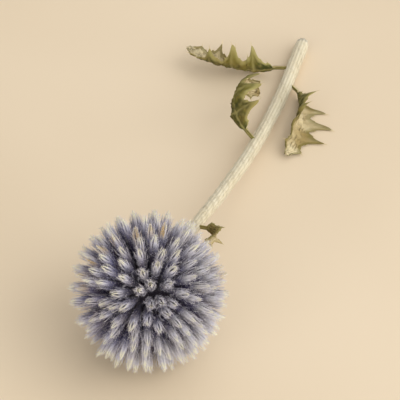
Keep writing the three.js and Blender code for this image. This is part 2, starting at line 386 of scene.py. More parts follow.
@dataclass(frozen=True)
class BractFinish(Finish):
    """Dry bracts: indigo in the depths, partly their own colour and partly painted shade;
    lavender to pale grey on the flanks, painted paler on the +X side; cream at the tips.
    """

    # Partly the bracts' own indigo feet and partly painted shade of the gaps between florets.
    deep_indigo_and_shade: Colour = (0.07, 0.06, 0.14, 1)
    flank: Colour = (0.205, 0.205, 0.42, 1)
    flank_pale: Colour = (0.76, 0.76, 0.71, 1)
    margin: Colour = (0.66, 0.65, 0.73, 1)
    tip: Colour = (0.93, 0.91, 0.70, 1)
    straw: Colour = (0.60, 0.43, 0.20, 1)
    patch_scale: float = 45.0
    patch_range: tuple[float, float] = (0.38, 0.62)
    # Painted light and shade: the globe is painted paler towards +X and darker towards -X, over
    # this distance either side of its middle and with this weight.
    painted_light_spread: float = 12 * MM
    painted_light_weight: float = 2.0
    own_range: tuple[float, float] = (-0.8, 1)
    edge_range: tuple[float, float] = (0.35, 1)
    edge_share: float = 0.75
    awn_range: tuple[float, float] = (0.45, 0.8)
    # Over which depths each colour comes in: 0 at the globe's middle, 1 at its radius. Deeper
    # in, the deep colour stays: the bracts' own indigo feet, darkened as painted shade.
    flank_depths: tuple[float, float] = (0.66, 0.93)
    edge_depths: tuple[float, float] = (0.72, 0.93)
    awn_depths: tuple[float, float] = (0.80, 0.93)
    tip_depths: tuple[float, float] = (0.89, 0.965)
    straw_depths: tuple[float, float] = (0.78, 0.9)

    def colour(self, graph: Graph) -> Socket:
        """Darken by the depth in the globe, partly the bracts' own indigo and partly painted shade
        of the gaps between florets, then colour the margins, then the awns and the tips.

        Each floret has its own share of the paler grey, and so have broad patches of the globe.
        The side that faces +X has it twice over as painted light, and the other side is darker as
        painted shade. A few florets have turned to straw.

        Args:
            graph: The material's graph.

        Returns:
            The colour.
        """
        depth = graph.mark("depth")
        place = graph.add("TexCoord").outputs["Object"]
        patch = graph.rise(graph.noise(self.patch_scale, 1, place), *self.patch_range)
        # Painted light and shade: paler on the globe's +X side, darker on its -X side, weighed
        # twice against the patches and each floret's own share.
        sideways = graph.add("SeparateXYZ", {0: place}).outputs["X"]
        side = graph.rise(sideways, -self.painted_light_spread, self.painted_light_spread)
        own = graph.rise(graph.mark("chance"), *self.own_range)
        weighed = graph.plus(graph.plus(graph.times(side, self.painted_light_weight), patch), own)
        mixed = graph.times(weighed, 1 / (self.painted_light_weight + 2))
        flank = graph.blend(mixed, self.flank, self.flank_pale)
        # Painted shade: the flanks fade into the deep colour with depth in the globe, over the
        # bracts' own indigo feet.
        flank_in_painted_shade = graph.blend(graph.rise(depth, *self.flank_depths), self.deep_indigo_and_shade, flank)
        edge = graph.rise(graph.mark("edge"), *self.edge_range)
        edge = graph.times(edge, graph.rise(depth, *self.edge_depths))
        edged = graph.blend(graph.times(edge, self.edge_share), flank_in_painted_shade, self.margin)
        awned = graph.blend(graph.rise(graph.mark("along"), *self.awn_range), edged, self.margin)
        awned = graph.blend(graph.rise(depth, *self.awn_depths), edged, awned)
        tipped = graph.blend(graph.rise(depth, *self.tip_depths), awned, self.tip)
        brown = graph.times(graph.mark("straw"), graph.rise(depth, *self.straw_depths))
        return graph.blend(brown, tipped, self.straw)


@dataclass(frozen=True)
class PlainFinish(Finish):
    """A surface of one colour, such as hairs, paler or darker from one hair to the next."""

    base: Colour = (0.6, 0.58, 0.55, 1)
    other: Colour = (0.5, 0.48, 0.45, 1)

    def colour(self, graph: Graph) -> Socket:
        """Shade each hair between the two colours by its own chance."""
        return graph.blend(graph.rise(graph.mark("chance"), -1, 1), self.base, self.other)


@dataclass(frozen=True)
class StalkFinish(Finish):
    """A stalk felted with white wool, greener in its grooves, with pale pith at the cut."""

    wool: Colour = (0.77, 0.71, 0.55, 1)
    groove: Colour = (0.44, 0.39, 0.24, 1)
    bark: Colour = (0.30, 0.22, 0.10, 1)
    pith: Colour = (0.78, 0.70, 0.50, 1)
    groove_share: float = 0.7
    # Over which shares of the way into the cut the bark and the pith come in.
    bark_range: tuple[float, float] = (0.1, 0.4)
    pith_range: tuple[float, float] = (0.5, 0.9)

    def colour(self, graph: Graph) -> Socket:
        """Shade by the grooves between the ribs, then the cut: bark round it and pith inside.

        Args:
            graph: The material's graph.

        Returns:
            The colour.
        """
        groove = graph.times(graph.mark("groove"), self.groove_share)
        ribbed = graph.blend(groove, self.wool, self.groove)
        cut = graph.mark("cut")
        barked = graph.blend(graph.rise(cut, *self.bark_range), ribbed, self.bark)
        return graph.blend(graph.rise(cut, *self.pith_range), barked, self.pith)


@dataclass(frozen=True)
class LeafFinish(Finish):
    """A dried leaf: olive above with pale veins and edges, felted white and tan below."""

    green: Colour = (0.045, 0.052, 0.006, 1)
    olive: Colour = (0.155, 0.135, 0.02, 1)
    felt: Colour = (0.66, 0.57, 0.36, 1)
    tan: Colour = (0.36, 0.27, 0.11, 1)
    vein: Colour = (0.36, 0.32, 0.12, 1)
    spine: Colour = (0.72, 0.60, 0.34, 1)
    patch_scale: float = 220.0
    patch_range: tuple[float, float] = (0.38, 0.62)
    worn_scale: float = 110.0
    worn_range: tuple[float, float] = (0.4, 0.6)
    vein_share: float = 0.8
    thin_share: float = 0.7
    # From how far out, as a share of the half width, the upper side and the felt change colour.
    pale_edge: float = 0.72
    thin_edge: float = 0.55

    def colour(self, graph: Graph) -> Socket:
        """Shade the upper side and the felt apart, then the veins, then the spines.

        Args:
            graph: The material's graph.

        Returns:
            The colour.
        """
        place = graph.add("TexCoord").outputs["Object"]
        patches = graph.rise(graph.noise(self.patch_scale, 3, place), *self.patch_range)
        above = graph.blend(patches, self.green, self.olive)
        edge = graph.mark("edge")
        edged = graph.blend(graph.rise(edge, self.pale_edge, 1), above, self.vein)
        veined = graph.blend(graph.times(graph.mark("vein"), self.vein_share), edged, self.vein)
        thin = graph.times(graph.rise(edge, self.thin_edge, 1), self.thin_share)
        worn = graph.rise(graph.noise(self.worn_scale, 2, place), *self.worn_range)
        below = graph.blend(thin, graph.blend(worn, self.felt, self.tan), self.olive)
        sides = graph.blend(graph.mark("upper"), below, veined)
        return graph.blend(graph.mark("spine"), sides, self.spine)


def dress(piece: bpy.types.Object, node: str, finish: Finish) -> None:
    """Give a piece its material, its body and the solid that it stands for.

    Args:
        piece: The finished object.
        node: The solid that it replaces.
        finish: What its surface is like.
    """
    material = bpy.data.materials.get(finish.name) or finish.material()
    piece.data.materials.append(material)
    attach(piece, "root")
    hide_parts(node)
    faces = len(piece.data.polygons)
    log.info("%s: %d faces, stands for %s", piece.name, faces, node)


# ---------------------------------------------------------------- the stalk


@dataclass
class StalkFrame:
    """Places along the stalk: its middle, its direction and two directions square to it."""

    middle: np.ndarray
    along: np.ndarray
    upward: np.ndarray
    sideways: np.ndarray

    def outward(self, turn: np.ndarray) -> np.ndarray:
        """Point away from the stalk at turns round it, from upward to sideways."""
        return self.upward * np.cos(turn) + self.sideways * np.sin(turn)


@dataclass
class Stalk:
    """The cut flower stalk, woolly and ribbed, from the globe's core to the cut end."""

    node: str = "stalk"
    globe_height: float = 18.3 * MM
    direction: tuple[float, float, float] = (0.05, 1, -0.14)
    top: float = 8.8 * MM
    neck_radius: float = 1.9 * MM
    neck_length: float = 5 * MM
    radius: float = 1.3 * MM
    cut_radius: float = 1.65 * MM
    cut_slant: float = 0.55
    ribs: int = 11
    rib_depth: float = 0.09
    corners_per_rib: int = 6
    rib_winding: float = 5
    wander: float = 0.03
    rings: int = 260
    root_share: float = 0.012
    softness: float = 0.15 * MM
    # The cut, from its rim inwards: share of the radius, depth in millimetres, and how far the
    # surface has turned from wool through bark to pith.
    cut_rings: tuple[tuple[float, float, float], ...] = (
        (0.8, 0, 0.45),
        (0.76, 0.25, 0.6),
        (0.4, 0.35, 1),
        (0.02, 0.4, 1),
    )
    strands: int = 900
    strand_stations: int = 8
    # The last share of the stalk that a woolly hair starts at, and the one that it stops at.
    strand_starts: float = 0.98
    strand_end: float = 0.995
    # Mean and spread of a woolly hair's length, its steepest winding, the share of the stalk's
    # radius that its ends lie at, and how far its middle stands off.
    strand_length: tuple[float, float] = (3.2 * MM, 2.2 * MM)
    strand_slope: float = 1.25
    strand_foot: float = 0.97
    strand_lift: float = 0.2 * MM
    strand_radius: float = 0.035 * MM
    # The points that the stalk passes below the globe, in millimetres, given as in the solid.
    route: tuple[tuple[float, float, float], ...] = (
        (2.0, 26, 14.6),
        (3.3, 46, 9.6),
        (4.3, 67, 4.9),
        (4.8, 90, 2.2),
        (4.2, 114, 1.62),
    )

    def __post_init__(self) -> None:
        """Work out the middle line as a dense row of places at equal steps."""
        heading = unit(np.array(self.direction))
        first = np.array([0, 0, self.globe_height]) + heading * self.top
        self.line = self.even_steps(np.vstack([first, np.array(self.route) * MM]))
        self.length = np.linalg.norm(np.diff(self.line, axis=0), axis=1).sum()

    @staticmethod
    def even_steps(knots: np.ndarray, dense: int = 4000, per_span: int = 400) -> np.ndarray:
        """Draw a centripetal Catmull-Rom curve through the knots.

        Each span is a cubic between two knots whose end slopes follow the neighbours, weighed
        by the square roots of the distances, and the ends are carried on by reflection.

        Args:
            knots: The points to pass, shape (knots, 3).
            dense: How many places to give.
            per_span: How many places of a span's cubic to measure along.

        Returns:
            Places at equal distances along the curve, shape (dense, 3).
        """
        padded = np.vstack([2 * knots[0] - knots[1], knots, 2 * knots[-1] - knots[-2]])
        gaps = np.sqrt(np.linalg.norm(np.diff(padded, axis=0), axis=1))[:, None]
        before, here, there, after = padded[:-3], padded[1:-2], padded[2:-1], padded[3:]
        first, mid, last = gaps[:-2], gaps[1:-1], gaps[2:]
        leave = (here - before) / first - (there - before) / (first + mid) + (there - here) / mid
        enter = (there - here) / mid - (after - here) / (mid + last) + (after - there) / last
        leave, enter = leave * mid, enter * mid
        t = np.linspace(0, 1, per_span)[:, None, None]
        cubic = 2 * here - 2 * there + leave + enter
        square = -3 * here + 3 * there - 2 * leave - enter
        curve = cubic * t**3 + square * t**2 + leave * t + here
        rows = curve.transpose(1, 0, 2).reshape(-1, 3)
        walked = np.concatenate([[0], np.cumsum(np.linalg.norm(np.diff(rows, axis=0), axis=1))])
        even = np.linspace(0, walked[-1], dense)
        return np.stack([np.interp(even, walked, rows[:, axis]) for axis in range(3)], -1)

    def at(self, share: np.ndarray) -> StalkFrame:
        """Give the stalk's middle and directions at shares of its length.

        Args:
            share: 0 at the globe to 1 at the cut, of any shape.

        Returns:
            The places and directions, with x, y and z along a last axis.
        """
        share = np.asarray(share, float)
        steps = np.linspace(0, 1, len(self.line))
        slope = unit(np.gradient(self.line, axis=0))
        middle = np.stack([np.interp(share, steps, self.line[:, axis]) for axis in range(3)], -1)
        along = unit(np.stack([np.interp(share, steps, slope[:, axis]) for axis in range(3)], -1))
        sideways = unit(np.cross(along, -DOWN))
        return StalkFrame(middle, along, np.cross(sideways, along), sideways)

    def thickness(self, share: np.ndarray) -> np.ndarray:
        """Give the radius: it grows evenly to the cut, and flares at the neck.

        Args:
            share: Shares of the stalk's length.

        Returns:
            The radii.
        """
        flare = 1 - smoothstep(0, self.neck_length, share * self.length)
        swell = self.cut_radius - self.radius
        return self.radius + swell * share + flare * (self.neck_radius - self.radius)

    def stem(self) -> Skin:
        """Make the ribbed skin, with a slanting cut whose pith lies a little deeper.

        The radius at a turn falls between the ribs by the rib depth times one less the absolute
        cosine of the turn, and wanders a little along the stalk. The last rings shrink in the
        plane of the cut: down its wall to the bark's inner edge, and over the pith to its middle.

        Returns:
            The stem's skin.
        """
        corners = self.ribs * self.corners_per_rib
        turn = np.arange(corners) * 2 * math.pi / corners
        inner = np.array(self.cut_rings)
        skin = np.tile([1.0, 0, 0], (self.rings, 1))
        shrink, sunk, cut = np.vstack([skin, inner]).T[..., None]
        share = np.linspace(-self.root_share, 1, self.rings)
        share = np.concatenate([share, np.ones(len(inner))])[:, None]
        held = np.clip(share[:, 0], 0, 1)
        frame_at = self.at(held)
        root = np.minimum(share, 0) * self.length * frame_at.along
        valley = 1 - np.abs(np.cos(self.ribs * turn / 2 + self.rib_winding * share))
        wander = self.wander * np.sin(3 * turn + 40 * share) * np.sin(61 * share)
        reach = self.thickness(held)[:, None] * (1 - self.rib_depth * valley + wander)
        reach = (reach * shrink)[..., None]
        out = frame_at.upward[:, None] * np.cos(turn)[:, None] * reach
        out = out + frame_at.sideways[:, None] * np.sin(turn)[:, None] * reach
        slant = np.where(share >= 1, self.cut_slant * out[..., 2], 0) - sunk * MM
        sheared = frame_at.along[:, None] * slant[..., None]
        places = (frame_at.middle + root)[:, None] + out + sheared
        marks = {"groove": valley**2, "cut": cut + 0 * valley}
        marks = {name: value[None] for name, value in marks.items()}
        return loft(settle(places, softness=self.softness)[None], marks)

    def wool(self) -> Skin:
        """Make the cobweb of loose woolly hairs that lies round the stalk.

        A hair starts anywhere, runs along the stalk and winds round it by its own slope, and
        stands off it by a half wave, highest at its middle.

        Returns:
            The hairs' skin.
        """
        index = np.arange(self.strands)[:, None]
        t = np.linspace(0, 1, self.strand_stations)[None]
        start = (0.5 + 0.5 * draw(index, 2)) * self.strand_starts
        length = self.strand_length[0] + self.strand_length[1] * draw(index, 3)
        slope = self.strand_slope * draw(index, 5)
        share = np.clip(start + t * length * np.cos(slope) / self.length, 0, self.strand_end)
        radius = self.thickness(share)
        turn = 2 * math.pi * draw(index, 7) + t * length * np.sin(slope) / radius
        lift = self.strand_lift * (1 + draw(index, 11)) * np.sin(math.pi * t)
        at = self.at(share)
        out = at.outward(turn[..., None])
        middle = at.middle + out * (radius * self.strand_foot + lift)[..., None]
        along = unit(np.gradient(middle, axis=1))
        side = unit(np.cross(along, out))
        thin = self.strand_radius * np.array([[1, 0], [-0.5, 0.87], [-0.5, -0.87]])
        ring = side[:, :, None] * thin[:, :1] + np.cross(along, side)[:, :, None] * thin[:, 1:]
        places = settle(middle[:, :, None] + ring, softness=self.softness)
        return loft(places, {"chance": draw(index, 13)[..., None]})

    def build(self) -> None:
        """Build and dress the stem and its wool."""
        dress(self.stem().piece("stalk_stem", True), self.node, STALK_FINISH)
        dress(self.wool().piece("stalk_wool", False), self.node, WOOL_FINISH)


# ---------------------------------------------------------------- the globe


@dataclass
class Florets:
    """Where the florets stand: roots, directions, lengths and two directions square to each."""

    root: np.ndarray
    axis: np.ndarray
    length: np.ndarray
    side: np.ndarray
    other: np.ndarray


@dataclass(frozen=True)
class BractLayer:
    """One layer of bracts round every floret.

    The bracts start and end at shares of the floret's length, and the ends spread by a draw. They
    hug the floret at a share of its girth, flare out at their tips, and stand turned on by a share
    of the step between two of them.
    """

    name: str
    count: int
    start: float
    end: float
    spread: float
    hug: float
    half_width: float
    flare: float
    stations: int
    turned: float


@dataclass
class Globe:
    """The flower head: florets all round a core, each a bundle of bracts in three layers."""

    node: str = "flower_head"
    height: float = 18.3 * MM
    radius: float = 19 * MM
    florets: int = 240
    tip_limit: float = math.radians(167)
    fan_from: float = math.radians(105)
    fan: float = math.radians(17)
    length_spread: float = 0.03
    tilt_spread: float = math.radians(3.4)
    drift: float = math.radians(3.6)
    root_share: float = 0.36
    girth: float = 1.02 * MM
    core_radius: float = 7.3 * MM
    pressed_within: float = math.radians(20)
    calm_within: float = math.radians(32)
    pressed_depth: float = 0.4 * MM
    keel: float = 0.16 * MM
    swell: float = 1.15
    close: float = 0.75
    # A bract's margins fall back as on a circle of this share of the girth.
    wrap: float = 0.8
    # The share of the keel's height that the inner face stands off on the other side.
    hollow: float = 0.1
    twist: float = 0.5
    turn_spread: float = 0.3
    width_spread: float = 0.15
    flare_spread: float = 0.7
    flare_range: tuple[float, float] = (0.6, 1)
    station_power: float = 0.85
    own_chance: float = 0.4
    straw_salt: float = 2**0.4
    straw_range: tuple[float, float] = (0.84, 0.92)
    hairs_per_margin: int = 5
    hair_jitter: float = 0.45
    hair_length: float = 0.8 * MM
    hair_spread: float = 0.35
    hair_width: float = 0.055 * MM
    hair_from: float = 0.45
    hair_stretch: float = 0.52
    # How far a fringe hair points across the bract, along the floret and out of it.
    hair_lean: tuple[float, float, float] = (0.8, 1.1, 0.35)
    bristles_per_floret: int = 14
    # Mean and spread of a bristle's length and of its lean away from the floret.
    bristle_length: tuple[float, float] = (4.6 * MM, 1.2 * MM)
    bristle_lean: tuple[float, float] = (0.3, 0.12)
    bristle_width: float = 0.06 * MM
    bristle_ring: float = 0.2 * MM
    core_rings: int = 40
    core_corners: int = 64
    dimples: float = 0.02
    layers: tuple[BractLayer, ...] = (
        BractLayer("inner", 6, 0.1, 1.0, 0.015, 0.72, 0.43 * MM, 0.06 * MM, 9, 0.0),
        BractLayer("middle", 6, 0.0, 0.93, 0.04, 0.92, 0.43 * MM, 0.5 * MM, 9, 0.5),
        BractLayer("outer", 5, -0.03, 0.72, 0.08, 1.04, 0.37 * MM, 0.6 * MM, 8, 0.25),
    )
    # A bract's outline: share of its length, then shares of its full width and full thickness.
    outline: tuple[tuple[float, float, float], ...] = (
        (0, 0.5, 0.6),
        (0.3, 0.62, 0.8),
        (0.5, 0.95, 1),
        (0.62, 1, 1),
        (0.74, 0.68, 0.8),
        (0.84, 0.32, 0.55),
        (0.92, 0.14, 0.3),
        (1, 0.03, 0.12),
    )

    def __post_init__(self) -> None:
        """Work out the globe's axes from the stalk, and where the florets stand."""
        self.middle = np.array([0, 0, self.height])
        self.front = -unit(np.array(Stalk.direction))
        self.across = unit(np.cross(DOWN, self.front))
        self.upright = np.cross(self.front, self.across)
        self.outline_shares, self.outline_widths, self.outline_keels = np.array(self.outline).T
        self.lattice = self.stand_florets()

    def toward(self, polar: np.ndarray, turn: np.ndarray) -> np.ndarray:
        """Point from the middle at an angle from the front and a turn round the axis."""
        ring = np.cos(turn)[:, None] * self.across + np.sin(turn)[:, None] * self.upright
        return ring * np.sin(polar)[:, None] + np.cos(polar)[:, None] * self.front

    def resting_turn(self) -> float:
        """Find the turn of the spiral that points one floret straight down.

        Returns:
            The angle that the first floret of the spiral stands at.
        """
        polar = math.acos(float(self.front @ DOWN))
        share = (1 - math.cos(polar)) / (1 - math.cos(self.tip_limit))
        lowest = round(share * self.florets - 0.5)
        turn = math.atan2(float(DOWN @ self.upright), float(DOWN @ self.across))
        return turn - lowest * GOLDEN_ANGLE

    def stand_florets(self) -> Florets:
        """Stand the florets in a golden-angle spiral, each with an equal share of the sphere.

        The cosine of the angle from the front falls evenly with the floret's number. Patches of
        florets drift by slow sines, single ones tilt by repeatable draws, and those near straight
        down stand evenly and reach the table.

        Returns:
            The florets' places and directions.
        """
        index = np.arange(self.florets)
        share = (index + 0.5) / self.florets
        polar = np.arccos(1 - (1 - math.cos(self.tip_limit)) * share)
        turn = self.resting_turn() + index * GOLDEN_ANGLE
        even = self.toward(polar, turn)
        from_down = np.arccos(np.clip(even @ DOWN, -1, 1))
        loose = smoothstep(self.pressed_within, self.calm_within, from_down)

        tilt = self.tilt_spread * loose
        tip = even + (tilt * draw(index, 2))[:, None] * self.across
        tip = tip + (tilt * draw(index, 3))[:, None] * self.upright
        drift = self.drift * loose
        tip[:, 0] += drift * np.sin(5 * even[:, 1] + 2 * even[:, 2])
        tip[:, 2] += drift * np.sin(6 * even[:, 0] + 3 * even[:, 1] + 1)
        free = self.radius * (1 + self.length_spread * draw(index, 5))
        down = (self.height + self.pressed_depth) / np.cos(np.minimum(from_down, 1))
        reach = np.where(from_down < self.pressed_within, down, free)
        tip = unit(tip) * reach[:, None]

        lean = self.fan * smoothstep(self.fan_from, self.tip_limit, polar)
        root = self.toward(polar - lean, turn) * self.root_share * self.radius
        axis = unit(tip - root)
        helper = np.where(np.abs(axis[:, 2:3]) < 0.8, -DOWN, np.array([1.0, 0, 0]))
        side = unit(np.cross(axis, helper))
        length = np.linalg.norm(tip - root, axis=1)
        return Florets(root + self.middle, axis, length, side, np.cross(axis, side))

    def spindle(self, height: np.ndarray) -> np.ndarray:
        """Give a floret's radius at shares of its height.

        The radius grows with a power of the height and closes with a power of what is left,
        scaled so that its widest place, at the first power's share of both, has the girth.

        Args:
            height: Shares of the floret's height.

        Returns:
            The radii.
        """
        held = np.clip(height, 0, 1)
        widest = self.swell / (self.swell + self.close)
        full = widest**self.swell * (1 - widest) ** self.close
        return self.girth * held**self.swell * (1 - held) ** self.close / full

    def bract_line(self, layer: BractLayer, along: np.ndarray) -> tuple[np.ndarray, ...]:
        """Follow every bract of a layer, which hugs its floret's spindle.

        Args:
            layer: The layer of bracts.
            along: Shares of a bract's length, shape (stations,) or (florets, bracts, stations).

        Returns:
            Its middle line, the directions out of the floret and across the bract, each of shape
            (florets, bracts, stations, 3), and its half width, without the last axis.
        """
        stand = self.lattice
        floret = np.arange(self.florets)[:, None, None]
        place = np.arange(layer.count)[None, :, None]
        index = floret * layer.count + place
        wobble = self.turn_spread * draw(index, 2) + floret * GOLDEN_ANGLE
        turn = 2 * math.pi * (place + layer.turned) / layer.count + wobble
        turn = turn + self.twist * draw(index, 17) * (along - 0.5)
        side, other = stand.side[:, None, None], stand.other[:, None, None]
        outward = side * np.cos(turn)[..., None] + other * np.sin(turn)[..., None]
        axis = np.broadcast_to(stand.axis[:, None, None], outward.shape)
        sideways = np.cross(axis, outward)

        end = layer.end + layer.spread * draw(index, 7)
        height = layer.start + (end - layer.start) * along
        flare = layer.flare * (1 + self.flare_spread * draw(index, 11))
        flare = flare * smoothstep(*self.flare_range, along) ** 2
        off = layer.hug * self.spindle(height) + flare
        length = stand.length[:, None, None]
        middle = stand.root[:, None, None] + axis * (height * length)[..., None]
        middle = middle + outward * off[..., None]
        width = np.interp(along, self.outline_shares, self.outline_widths)
        half = layer.half_width * (1 + self.width_spread * draw(index, 13)) * width
        return middle, outward, sideways, half

    def margin(self, outward: np.ndarray, sideways: np.ndarray, half: np.ndarray) -> np.ndarray:
        """Reach from a bract's middle to a margin: across it, and back as on a circle."""
        fall = half**2 / (2 * self.wrap * self.girth)
        return sideways * half[..., None] - outward * fall[..., None]

    def bracts(self, layer: BractLayer) -> Skin:
        """Make one layer of bracts, each a keeled blade that wraps round its floret.

        A ring has four corners: the keel, one margin, the inner face and the other margin. The
        margins fall back by the square of the half width over twice the circle's radius.

        Args:
            layer: The layer of bracts.

        Returns:
            The skins of the layer's bracts.
        """
        along = np.linspace(0, 1, layer.stations) ** self.station_power
        middle, outward, sideways, half = self.bract_line(layer, along)
        keel = self.keel * np.interp(along, self.outline_shares, self.outline_keels)
        front = middle + outward * keel[:, None]
        back = middle - outward * (self.hollow * keel)[:, None]
        one = middle + self.margin(outward, sideways, half)
        other = middle + self.margin(outward, -sideways, half)
        rings = np.stack([front, one, back, other], 3)
        rings = rings.reshape(self.florets * layer.count, layer.stations, 4, 3)
        floret = np.arange(self.florets)[:, None]
        index = floret * layer.count + np.arange(layer.count)
        chance = self.own_chance * draw(index, 19) + (1 - self.own_chance) * draw(floret, 23)
        straw = smoothstep(*self.straw_range, draw(floret, 29))
        straw = straw * (0.5 + 0.5 * draw(index, self.straw_salt))
        marks = {
            "depth": np.linalg.norm(rings - self.middle, axis=-1) / self.radius,
            "along": along[None, :, None],
            "edge": np.array([0.0, 1, 0, 1]),
            "chance": chance.reshape(-1, 1, 1),
            "straw": straw.reshape(-1, 1, 1),
        }
        return loft(settle(rings), marks)

    def cilia(self) -> Skin:
        """Make the fringe of fine hairs on the bracts' margins.

        Each hair stands on a margin, somewhere along its outer half, and points outwards across
        the bract and forwards along the floret.

        Returns:
            The hairs' skin.
        """
        feet, reaches, chances = [], [], []
        lean_across, lean_along, lean_out = self.hair_lean
        for layer in self.layers:
            for hair in range(self.hairs_per_margin):
                for margin in (-1, 1):
                    index = np.arange(self.florets * layer.count).reshape(self.florets, -1, 1)
                    number = index * 2 * self.hairs_per_margin + 2 * hair + (margin > 0)
                    step = hair + 0.5 + self.hair_jitter * draw(number, 3)
                    step = step / self.hairs_per_margin
                    along = self.hair_from + self.hair_stretch * step
                    middle, outward, sideways, half = self.bract_line(layer, along)
                    across = sideways * margin
                    foot = middle + self.margin(outward, across, half)
                    feet.append(foot.reshape(-1, 3))
                    reach = lean_across * across + lean_along * self.lattice.axis[:, None, None]
                    reach = reach + lean_out * outward * (1 + draw(number, 5))[..., None]
                    size = self.hair_length * (1 + self.hair_spread * draw(number, 7))[..., None]
                    reaches.append((unit(reach) * size).reshape(-1, 3))
                    chances.append(draw(number, 11).ravel())
        marks = {"chance": np.concatenate(chances)}
        skin = spikes(np.concatenate(feet), np.concatenate(reaches), self.hair_width, marks)
        skin.places = settle(skin.places)
        return skin

    def bristles(self) -> Skin:
        """Make the brush of short stiff bristles round each floret's foot.

        They stand on a small circle, a golden angle apart, and lean outwards by a drawn slope.

        Returns:
            The bristles' skin.
        """
        stand = self.lattice
        floret = np.arange(self.florets)[:, None]
        index = floret * self.bristles_per_floret + np.arange(self.bristles_per_floret)
        turn = (index * GOLDEN_ANGLE)[..., None]
        out = stand.side[:, None] * np.cos(turn) + stand.other[:, None] * np.sin(turn)
        lean = self.bristle_lean[0] + self.bristle_lean[1] * draw(index, 2)
        size = self.bristle_length[0] + self.bristle_length[1] * draw(index, 3)
        reach = unit(stand.axis[:, None] + out * lean[..., None]) * size[..., None]
        foot = stand.root[:, None] + out * self.bristle_ring + 0 * reach
        marks = {"chance": draw(index, 5).ravel()}
        return spikes(foot.reshape(-1, 3), reach.reshape(-1, 3), self.bristle_width, marks)

    def core(self) -> Skin:
        """Make the receptacle that the florets are rooted in: a ball with a dimpled skin.

        It is rings of latitude from pole to pole, whose radius dips by a product of two sines.

        Returns:
            The ball's skin.
        """
        polar = np.linspace(0.01, math.pi - 0.01, self.core_rings)[:, None]
        turn = np.arange(self.core_corners)[None] * 2 * math.pi / self.core_corners
        dip = self.dimples * np.sin(12 * polar) * np.sin(14 * turn)
        radius = self.core_radius * (1 - dip)
        ring = np.stack([np.sin(polar) * np.cos(turn), np.sin(polar) * np.sin(turn)], -1)
        places = np.concatenate([ring, -np.cos(polar)[..., None] + 0 * ring[..., :1]], -1)
        places = places * radius[..., None] + self.middle
        return loft(places[None], {"chance": np.zeros((1, 1, 1))})

    def build(self) -> None:
        """Build and dress every piece of the globe."""
        dress(self.core().piece("flower_head_core", True), self.node, CORE_FINISH)
        for layer in self.layers:
            piece = self.bracts(layer).piece(f"flower_head_{layer.name}_bracts", False)
            dress(piece, self.node, BRACT_FINISH)
        piece = self.cilia().piece("flower_head_fringe", False)
        dress(piece, self.node, FRINGE_FINISH)
        piece = self.bristles().piece("flower_head_bristles", False)
        dress(piece, self.node, BRISTLE_FINISH)


# ---------------------------------------------------------------- the leaves


